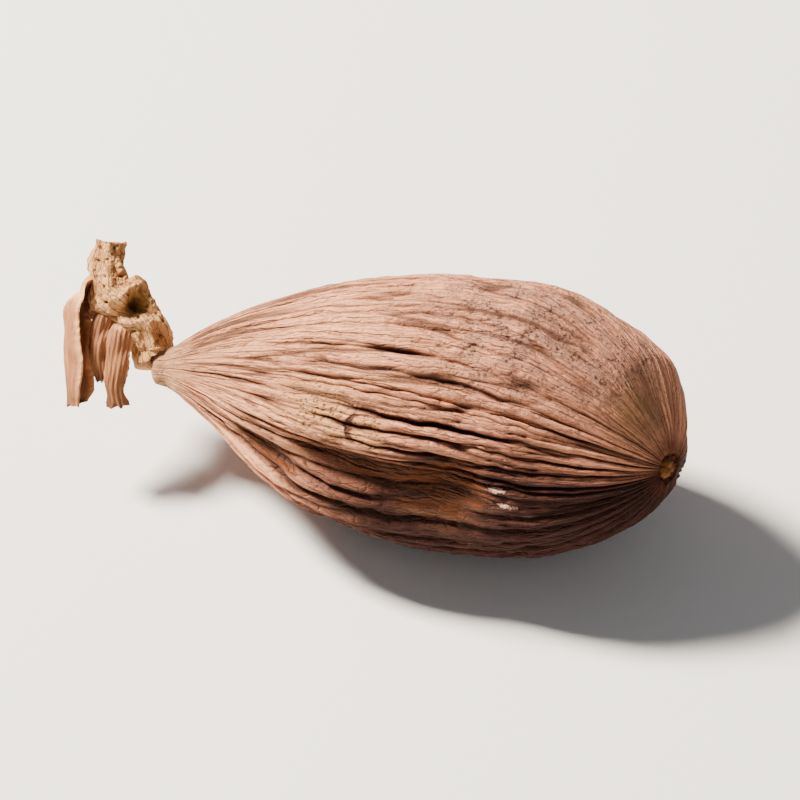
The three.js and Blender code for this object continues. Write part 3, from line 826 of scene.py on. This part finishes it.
def make_bract(name, line, widths, face, curl):
    u = np.linspace(0, 1, BRACT_STATIONS)[:, None]
    centre, tangent, _, _ = along_curve(np.array(line) + neck_end, u[:, 0])
    side = unit(np.cross(tangent, unit(np.array(face, float))))
    out = unit(np.cross(side, tangent))
    share = np.linspace(-1, 1, BRACT_POINTS)
    across = np.concatenate([share, -share])[None, :]
    outer = np.repeat([1, -1], BRACT_POINTS)[None, :]
    width = eased_value(widths, u) * (1 + BRACT_UNEVEN * sheet_noise(7 * u, 0, len(name)))
    nibbled = BRACT_NIBBLE * sheet_noise(30 * u, 2 * across, 5) * np.abs(across) ** 6
    fibre = BRACT_FIBRE * np.sin(BRACT_FIBRES * across * width + 3 * np.sin(5 * u)) * (1 - across ** 2)
    crumple = BRACT_CRUMPLE * sheet_noise(5 * u, 1.1 * across, 9)
    slope = 2 * curl * across
    half = BRACT_THICKNESS * (0.5 - BRACT_THINNER_EDGE * across ** 2)
    off = (half * outer + fibre) / np.hypot(1, slope)
    rise = off + crumple - curl * across ** 2 * width / 2
    torn = BRACT_TORN * sheet_noise(0 * u, 2.6 * across, 1.7) * eased(u, 0.82, 1)
    reach = across * width / 2 * (1 + nibbled) + off * slope
    rings = centre[:, None, :] + side[:, None, :] * reach[..., None] + out[:, None, :] * rise[..., None]
    rings += tangent[:, None, :] * torn[..., None]
    bract, order = skin(name, rings[0].mean(0), rings, rings[-1].mean(0))
    paint(bract, order, "across", across + 0 * u)
    paint(bract, order, "along", u + 0 * across)
    paint(bract, order, "inner", 0.5 - 0.5 * outer + 0 * u)
    return bract


bracts = [make_bract(name, *shape) for name, shape in BRACTS.items()]

# %% [markdown]
# ## Shader maths as plain sums
# Colours and relief are worked out with many small nodes. Written one by one they would hide the
# idea, so a small class wraps a node's output and lets plain Python sums add the Math nodes.
# Another method adds any other node.

# %% Sums with flows
class Flow:
    """One output of a node. A sum of flows and numbers adds the Math nodes that work it out."""

    def __init__(self, finish, socket):
        self.finish = finish
        self.socket = socket

    def output(self, index):
        """Another output of the same node."""
        return Flow(self.finish, self.socket.node.outputs[index])

    def math(self, operation, first, second):
        return self.finish.math(operation, first, second)

    def __add__(self, other):
        return self.math("ADD", self, other)

    __radd__ = __add__

    def __sub__(self, other):
        return self.math("SUBTRACT", self, other)

    def __rsub__(self, other):
        return self.math("SUBTRACT", other, self)

    def __mul__(self, other):
        return self.math("MULTIPLY", self, other)

    __rmul__ = __mul__

    def __truediv__(self, other):
        return self.math("DIVIDE", self, other)

    def above(self, start, end):
        """0 below start, 1 above end, and eased between them."""
        return self.finish.node("ShaderNodeMapRange", {"interpolation_type": "SMOOTHSTEP"},
                                {"Value": self, "From Min": start, "From Max": end})

    def clamped(self):
        return self.finish.node("ShaderNodeClamp", None, {0: self})

    def most(self, other):
        return self.math("MAXIMUM", self, other)

    def as_vector(self):
        """The same three numbers, handed on as a vector."""
        return self.finish.node("ShaderNodeVectorMath", {"operation": "ADD"}, {0: self})

# %% [markdown]
# A finish is one material. It makes its nodes, reads what was painted on the mesh, and joins
# colour, roughness and relief to the surface. A dry, fibrous surface hardly mirrors light, so all
# of them share one weak shine.

# %% Finishes and their nodes
DRY_SHINE = 0.22


class Finish:
    """One material, made for one kind of surface."""

    def __init__(self, name):
        self.material = bpy.data.materials.new(name)
        self.material.use_nodes = True
        self.tree = self.material.node_tree
        self.surface = self.tree.nodes["Principled BSDF"]

    def node(self, kind, settings=None, inputs=None, output=0):
        made = self.tree.nodes.new(kind)
        for name, value in (settings or {}).items():
            setattr(made, name, value)
        for name, value in (inputs or {}).items():
            self.feed(made.inputs[name], value)
        return Flow(self, made.outputs[output])

    def feed(self, socket, value):
        if isinstance(value, Flow):
            self.tree.links.new(value.socket, socket)
        else:
            socket.default_value = value

    def math(self, operation, first, second=0.0):
        """Sum of two numbers, or of two vectors where one of them is a vector."""
        kind = "ShaderNodeMath"
        if self.is_vector(first) or self.is_vector(second):
            kind = "ShaderNodeVectorMath"
            first, second = [(v, v, v) if isinstance(v, (int, float)) else v for v in (first, second)]
        return self.node(kind, {"operation": operation}, {0: first, 1: second})

    def is_vector(self, value):
        return isinstance(value, tuple) or (isinstance(value, Flow) and value.socket.type == "VECTOR")

    def number(self, name):
        """A number painted on the piece's points."""
        return self.node("ShaderNodeAttribute", {"attribute_name": name}, output=2)

    def vector(self, name):
        return self.node("ShaderNodeAttribute", {"attribute_name": name}, output=1)

    def place(self):
        """The place on the object, in millimetres."""
        return self.node("ShaderNodeTexCoord", output=3) * (1000, 1000, 1000)

    def noise(self, vector, scale, detail=3.0, roughness=0.55, output=0):
        made = self.node("ShaderNodeTexNoise", None, {
            "Vector": vector, "Scale": scale, "Detail": detail, "Roughness": roughness}, output)
        return made if output == 0 else made.as_vector()

    def cell_edges(self, vector, scale):
        """Distance to the nearest border between scattered cells."""
        return self.node("ShaderNodeTexVoronoi", {"feature": "DISTANCE_TO_EDGE"},
                         {"Vector": vector, "Scale": scale})

    def specks(self, vector, scale):
        """Distance to the nearest of many scattered points."""
        return self.node("ShaderNodeTexVoronoi", None, {"Vector": vector, "Scale": scale})

    def mix(self, first, second, share):
        colours = [(*colour, 1) if isinstance(colour, tuple) else colour for colour in (first, second)]
        inputs = {0: share, 6: colours[0], 7: colours[1]}
        return self.node("ShaderNodeMix", {"data_type": "RGBA"}, inputs, output=2)

    def dressed(self, colour, roughness, relief, depth):
        """Joins colour, roughness and relief to the surface, with the relief's depth in millimetres."""
        bump = self.node("ShaderNodeBump", None,
                         {"Strength": 1.0, "Distance": depth * MM, "Height": relief})
        self.surface.inputs["Specular IOR Level"].default_value = DRY_SHINE
        self.feed(self.surface.inputs["Base Color"], colour)
        self.feed(self.surface.inputs["Roughness"], roughness)
        self.feed(self.surface.inputs["Normal"], bump)
        print(self.material.name, "has", len(self.tree.nodes), "nodes")
        return self.material

# %% [markdown]
# ## The husk's finish
# The dry husk is matt. Its ribs are a weathered pinkish tan and its furrows are a dark red-brown,
# partly their own colour and partly painted shade. Towards the neck it is paler, on top there is a
# greyer patch with dark specks, and a corky yellowish spot sits on the flank. The underside and the
# lower flank carry painted shade in a deep brown. The dent has a smooth shine and a dark brown that
# is partly its own and partly painted shade, and painted shade also runs under the keel. The crown
# is olive, and two painted glints stand out below the keel. A picture wrapped round the pod would
# smear at its ends. So each of these is a zone painted on the mesh, and noise breaks its edge so
# that no patch looks airbrushed.

# %% The husk's colours
RIB_LIGHT = (0.88, 0.375, 0.21)
RIB_DARK = (0.35, 0.124, 0.07)
PALE_SKIN = (0.99, 0.46, 0.235)
# Dark red-brown for furrows and creases, partly their own colour and partly painted shade, and for the
# bark lines and the crack
DARK_LINES_AND_SHADE = (0.034, 0.008, 0.003)
MOTTLE_GREY = (0.33, 0.162, 0.107)
MOTTLE_DARK = (0.075, 0.026, 0.014)
CORK_TAN = (0.58, 0.3, 0.12)
CORK_PIT = (0.13, 0.045, 0.014)
# Painted shade on the underside and the lower flank
PAINTED_SHADE_BROWN = (0.04, 0.007, 0.002)
# Dark brown of the dent, partly its own colour and partly painted shade, also under the keel
DENT_BROWN_AND_SHADE = (0.13, 0.034, 0.006)
CROWN_OLIVE = (0.27, 0.13, 0.045)
BUTTON_TAN = (0.5, 0.2, 0.04)
BUTTON_RUST = (0.16, 0.035, 0.006)
# Painted glints
PAINTED_GLINT_PALE = (0.9, 0.52, 0.37)
NECK_CREAM = (0.95, 0.5, 0.27)
HUSK_RELIEF = 0.24
print("the relief in the husk's finish is up to", HUSK_RELIEF, "mm deep")

# %% [markdown]
# A short crack crosses the ribs at the end of the corky spot. It is thinner than a column of the
# mesh, so it is a bowed line in the material, found from the place round and along the pod.

# %% The crack across the ribs
CRACK_AT = 0.432
CRACK_TURN = 147.5
CRACK_HALF_TURN = 6
CRACK_BOW = 0.014
CRACK_WIDTH = 0.0095


def crack_line(finish, grain):
    """1 on the short bowed crack across the ribs, 0 beside it."""
    parts = finish.node("ShaderNodeSeparateXYZ", None, {0: grain})
    turn = finish.math("ARCTAN2", parts.output(1), parts.output(0))
    aside = (turn - math.radians(CRACK_TURN)) / math.radians(CRACK_HALF_TURN)
    bowed = CRACK_AT + CRACK_BOW * aside * aside
    off = finish.math("ABSOLUTE", parts.output(2) - bowed)
    return off.above(CRACK_WIDTH, CRACK_WIDTH * 0.3) * (aside * aside).above(1.0, 0.7)


print("the crack is", round(math.radians(2 * CRACK_HALF_TURN) * POD_RADIUS, 1), "mm long")

# %% [markdown]
# The finish starts with noise of several sizes. Streaks and threads are drawn out along the
# fibres, and the borders of drawn-out cells look like cracked bark. Then come the zones, and then
# the colours are laid over each other, from the widest to the smallest, with the furrows and
# cracks last. The same noises give the relief.

# %% The husk's finish
def husk_finish():
    finish = Finish("dried_husk")
    place = finish.place()
    grain = finish.vector("grain")
    wobble = (finish.noise(place, 0.9, 2, 0.5, output=1) - 0.5) * (0.035, 0.035, 0.03)
    fibre_place = grain + wobble
    streak = finish.noise(fibre_place * (30, 30, 9), 1.0, 4, 0.6)
    thread = finish.noise(fibre_place * (75, 75, 26), 1.0, 4, 0.65)
    bark = finish.cell_edges(fibre_place * (15, 15, 8), 1.0)
    fine_bark = finish.cell_edges(fibre_place * (34, 34, 17), 1.0)
    broad = finish.noise(place, 0.22, 3, 0.55)
    patchy = finish.noise(place, 0.75, 5, 0.62)
    gritty = finish.noise(place, 3.6, 5, 0.7)
    dots = finish.specks(place, 3.0)

    # Zones, with edges broken by noise
    furrow = finish.number("furrow")
    crease = finish.number("crease")
    neck = finish.number("neck")
    mottled = (finish.number("mottled") * 1.35 * patchy.above(0.36, 0.6)).clamped()
    cork = ((finish.number("cork") + neck * 0.9) * patchy.above(0.2, 0.55)).clamped()
    # Painted shade on the underside and the lower flank
    in_painted_shade = (finish.number("in_painted_shade") + (broad - 0.5) * 0.6).above(0.15, 1.0)
    # The dent's own darker skin with painted shade, and painted shade under the keel
    dent = (finish.number("dent") + (patchy - 0.5) * 0.5).above(0.25, 0.7)
    crack = crack_line(finish, fibre_place)

    # Colours of the skin
    tone = finish.mix(RIB_DARK, RIB_LIGHT, (streak * 1.1 + patchy * 0.55 - 0.3).clamped())
    pale = (finish.number("pale") * 0.8 * streak.above(0.25, 0.65)).clamped()
    tone = finish.mix(tone, PALE_SKIN, pale)
    tone = finish.mix(tone, MOTTLE_GREY, mottled * 0.9)
    speck = gritty.above(0.52, 0.6).most(finish.noise(place, 1.7, 4, 0.7).above(0.56, 0.64) * 0.8)
    tone = finish.mix(tone, MOTTLE_DARK, (mottled * 0.85 + 0.14).clamped() * speck)
    pit = cork * dots.above(0.45, 0.15)
    tone = finish.mix(tone, CORK_TAN, cork * 0.75)
    tone = finish.mix(tone, CORK_PIT, pit * 0.8)
    # Painted shade underneath
    tone = finish.mix(tone, PAINTED_SHADE_BROWN, in_painted_shade)
    tone = finish.mix(tone, CROWN_OLIVE, finish.number("crown") * patchy.above(0.2, 0.5) * 0.8)
    # Dark brown in the dent and under the keel: partly its own colour, partly painted shade
    tone = finish.mix(tone, DENT_BROWN_AND_SHADE, dent)
    tone = finish.mix(tone, NECK_CREAM, neck * 0.75)
    button = finish.number("button")
    rust = finish.number("tip") * button.above(-0.2, 0.1)  # weaker on the skin round the button
    tone = finish.mix(tone, BUTTON_RUST, rust)
    tone = finish.mix(tone, BUTTON_TAN, button.above(0.35, 0.9) * patchy.above(0.2, 0.5))

    # Dark lines: creases darkened partly with painted shade, cracked bark and threads, then the furrows,
    # also partly painted shade, with the crack, and last the painted glints
    bark_line = bark.above(0.07, 0.0) * streak.above(0.62, 0.4) * (1 - mottled * 0.8)
    fine_line = fine_bark.above(0.06, 0.0) * patchy.above(0.6, 0.4) * (1 - mottled * 0.8)
    dark_line = (crease.above(0.28, 0.9) * 0.78).most(bark_line * 0.7).most(fine_line * 0.55)
    dark_line = dark_line.most(thread.above(0.58, 0.7) * 0.35) * (1 - neck * 0.7)
    tone = finish.mix(tone, DARK_LINES_AND_SHADE, dark_line)
    tone = finish.mix(tone, DARK_LINES_AND_SHADE, (furrow.above(0.06, 0.48) * 0.95).most(crack * 0.9))
    # Two painted glints of light
    painted_glint = (finish.number("painted_glints") + gritty * 2.4 - 1.2).above(0.4, 0.75)
    tone = finish.mix(tone, PAINTED_GLINT_PALE, painted_glint * 0.75)

    # Roughness and relief
    roughness = 0.82 + gritty * 0.1 - dent * 0.42 - in_painted_shade * 0.12
    lines = bark.above(0.0, 0.12) * 0.5 + fine_bark.above(0.0, 0.1) * 0.25 - crack * 1.2
    relief = thread * 0.6 + gritty * 0.6 + streak * 0.9 + lines - pit * 0.5
    return finish.dressed(tone, roughness, relief, HUSK_RELIEF)


husk.data.materials.clear()
husk.data.materials.append(husk_finish())

# %% [markdown]
# ## The stalk's finish
# The stalk is corky and pale, with dark pits and a golden-brown hollow in the scar. The bracts
# are drier still: pinkish tan outside with thin fibre lines, darker brown inside, and corky like
# the stalk at their tops, where they grew on it. One finish could serve both, but the bracts'
# lines follow their own two directions, so they get theirs.

# %% Stalk and bract colours
CORK_LIGHT = (0.86, 0.47, 0.205)
CORK_MID = (0.52, 0.235, 0.075)
CORK_DEEP = (0.10, 0.034, 0.010)
SCAR_GOLD = (0.33, 0.155, 0.035)
BRACT_OUT = (0.5, 0.205, 0.085)
BRACT_EDGE = (0.68, 0.33, 0.145)
BRACT_IN = (0.13, 0.04, 0.012)
BRACT_LINE = (0.11, 0.04, 0.018)
BRACT_TOP_UNTIL = 0.3
CORK_RELIEF = 0.2
BRACT_RELIEF = 0.14
print("relief up to", CORK_RELIEF, "mm on the stalk and", BRACT_RELIEF, "mm on the bracts")


# %% The stalk's finish
def stalk_finish():
    finish = Finish("corky_stalk")
    place = finish.place()
    fibre = finish.noise(finish.vector("grain") * (12, 12, 7), 1.0, 4, 0.6)
    patchy = finish.noise(place, 1.4, 5, 0.65)
    gritty = finish.noise(place, 5.0, 5, 0.72)
    bark = finish.cell_edges(finish.vector("grain") * (4.2, 4.2, 7) + patchy * 0.5, 1.0)
    hollow = finish.number("hollow")
    light = (finish.number("height") * 0.7 + fibre * 0.7 - 0.25).clamped()
    tone = finish.mix(CORK_MID, CORK_LIGHT, light)
    dark = (gritty.above(0.54, 0.68) * 0.6).most(bark.above(0.05, 0.0) * 0.6)
    tone = finish.mix(tone, CORK_DEEP, dark)
    tone = finish.mix(tone, SCAR_GOLD, hollow.above(0.1, 0.5) * patchy.above(0.25, 0.5))
    tone = finish.mix(tone, CORK_DEEP, hollow.above(0.45, 0.95) * 0.85)
    relief = gritty * 1.0 + fibre * 0.6 + bark.above(0.0, 0.1) * 0.5
    return finish.dressed(tone, 0.86 - hollow * 0.15, relief, CORK_RELIEF)


# %% The bracts' finish
def bract_finish():
    finish = Finish("dry_bract")
    place = finish.place()
    across = finish.number("across")
    along = finish.number("along")
    inner = finish.number("inner")
    strands = finish.node("ShaderNodeCombineXYZ", None, {0: across * 9, 1: along * 5, 2: inner * 3})
    fibre = finish.noise(strands, 1.0, 4, 0.6)
    patchy = finish.noise(place, 1.1, 4, 0.6)
    edge = (across * across).above(0.55, 0.95)
    tone = finish.mix(BRACT_LINE, BRACT_OUT, (fibre * 1.5 + patchy * 0.5 - 0.5).clamped())
    tone = finish.mix(tone, BRACT_IN, inner * 0.85 * patchy.above(0.2, 0.5))
    tone = finish.mix(tone, BRACT_EDGE, edge * 0.75 * patchy.above(0.25, 0.5))
    tone = finish.mix(tone, BRACT_LINE, along.above(0.7, 1.0) * 0.6 * patchy.above(0.3, 0.55))
    gritty = finish.noise(place, 5.0, 5, 0.72)
    top = (along + (patchy - 0.5) * 0.35).above(BRACT_TOP_UNTIL, BRACT_TOP_UNTIL * 0.5)
    corky = top * (1 - inner)
    cork = finish.mix(CORK_LIGHT, CORK_DEEP, gritty.above(0.52, 0.66) * 0.7)
    tone = finish.mix(tone, cork, corky * 0.85)
    relief = fibre * 1.0 + patchy * 0.3 + gritty * corky * 0.8
    return finish.dressed(tone, 0.82 - fibre * 0.1, relief, BRACT_RELIEF)


# %% Dress the stalk and the bracts
stalk.data.materials.clear()
stalk.data.materials.append(stalk_finish())
bract_material = bract_finish()
for bract in bracts:
    bract.data.materials.clear()
    bract.data.materials.append(bract_material)
print(len(bracts), "bracts share one finish")

# %% [markdown]
# ## Where each piece belongs
# The plain model has two solids, the pod and the stalk. The husk stands for the first, and the
# stalk piece and its bracts stand for the second. All of them ride on the one body of the plain
# model, so they move with it.

# %% Tie the pieces to the plain model
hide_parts("pod")
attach(husk, "root")
for piece in [stalk, *bracts]:
    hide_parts("stalk")
    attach(piece, "root")
print("husk on the pod,", 1 + len(bracts), "pieces on the stalk")

# %% [markdown]
# ## Table, light and camera
# The pod lies on a plain pale floor. A large soft lamp from the upper left and a little behind
# gives the ribs their shadows, and a weak one from the right keeps the shaded side readable. The
# camera looks down at 45 degrees, a little from the tip's side, which is how the pod lies in the
# picture. A long lens keeps its two ends in true proportion.

# %% Floor
FLOOR_SIDE = 3.0
FLOOR_GREY = (0.78, 0.77, 0.75, 1)
FLOOR_ROUGHNESS = 0.9

bpy.ops.object.select_all(action="DESELECT")
bpy.ops.mesh.primitive_plane_add(size=FLOOR_SIDE, location=(0, 0, 0))
floor = bpy.context.object
floor.name = "floor"
floor_finish = Finish("pale_floor")
floor_finish.surface.inputs["Base Color"].default_value = FLOOR_GREY
floor_finish.surface.inputs["Roughness"].default_value = FLOOR_ROUGHNESS
floor.data.materials.append(floor_finish.material)
floor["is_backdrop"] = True
print("floor", FLOOR_SIDE, "m wide")

# %% Camera
AZIMUTH = 16
ELEVATION = 45
LENS = 180
CAMERA_DISTANCE = 0.272
LOOK_AT = Vector((-0.0027, -0.0003, 0.0088))


def towards(azimuth, elevation):
    """Direction from the object to a place seen from it, with azimuth 0 in front of the -Y side."""
    a, e = math.radians(azimuth), math.radians(elevation)
    return Vector((math.sin(a) * math.cos(e), -math.cos(a) * math.cos(e), math.sin(e)))


def aimed(thing, direction, distance):
    thing.location = LOOK_AT + direction * distance
    thing.rotation_euler = (-direction).to_track_quat("-Z", "Y").to_euler()


bpy.ops.object.camera_add()
camera = bpy.context.object
camera.name = "camera"
camera.data.lens = LENS
camera.data.clip_start = 0.01
camera.data.clip_end = 20
aimed(camera, towards(AZIMUTH, ELEVATION), CAMERA_DISTANCE)
bpy.context.scene.camera = camera
print("camera at azimuth", AZIMUTH, "and elevation", ELEVATION)

# %% Lamps
AIR = (0.95, 0.96, 1.0, 1)
AIR_STRENGTH = 0.21
LAMPS = [  # name, azimuth, elevation, distance, side, power in watts, colour
    ("key_lamp", -98, 49, 0.6, 0.12, 20.5, (1.0, 0.91, 0.8)),
    ("fill_lamp", 20, 40, 0.7, 0.5, 0.5, (1.0, 0.96, 0.94)),
]
for name, azimuth, elevation, distance, side, power, colour in LAMPS:
    bpy.ops.object.light_add(type="AREA")
    lamp = bpy.context.object
    lamp.name = name
    lamp.data.size = side
    lamp.data.energy = power
    lamp.data.color = colour
    aimed(lamp, towards(azimuth, elevation), distance)

world = bpy.data.worlds.new("studio")
world.use_nodes = True
world.node_tree.nodes["Background"].inputs["Color"].default_value = AIR
world.node_tree.nodes["Background"].inputs["Strength"].default_value = AIR_STRENGTH
bpy.context.scene.world = world
print(len(LAMPS), "lamps,", sum(lamp[5] for lamp in LAMPS), "watts in all")

# %% Sizes and finish
shown_box = [list(corner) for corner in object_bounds()]
for name, box in (("plain", plain_box), ("shown", shown_box)):
    print(name, "box in mm:", [[round(1000 * value, 2) for value in corner] for corner in box])
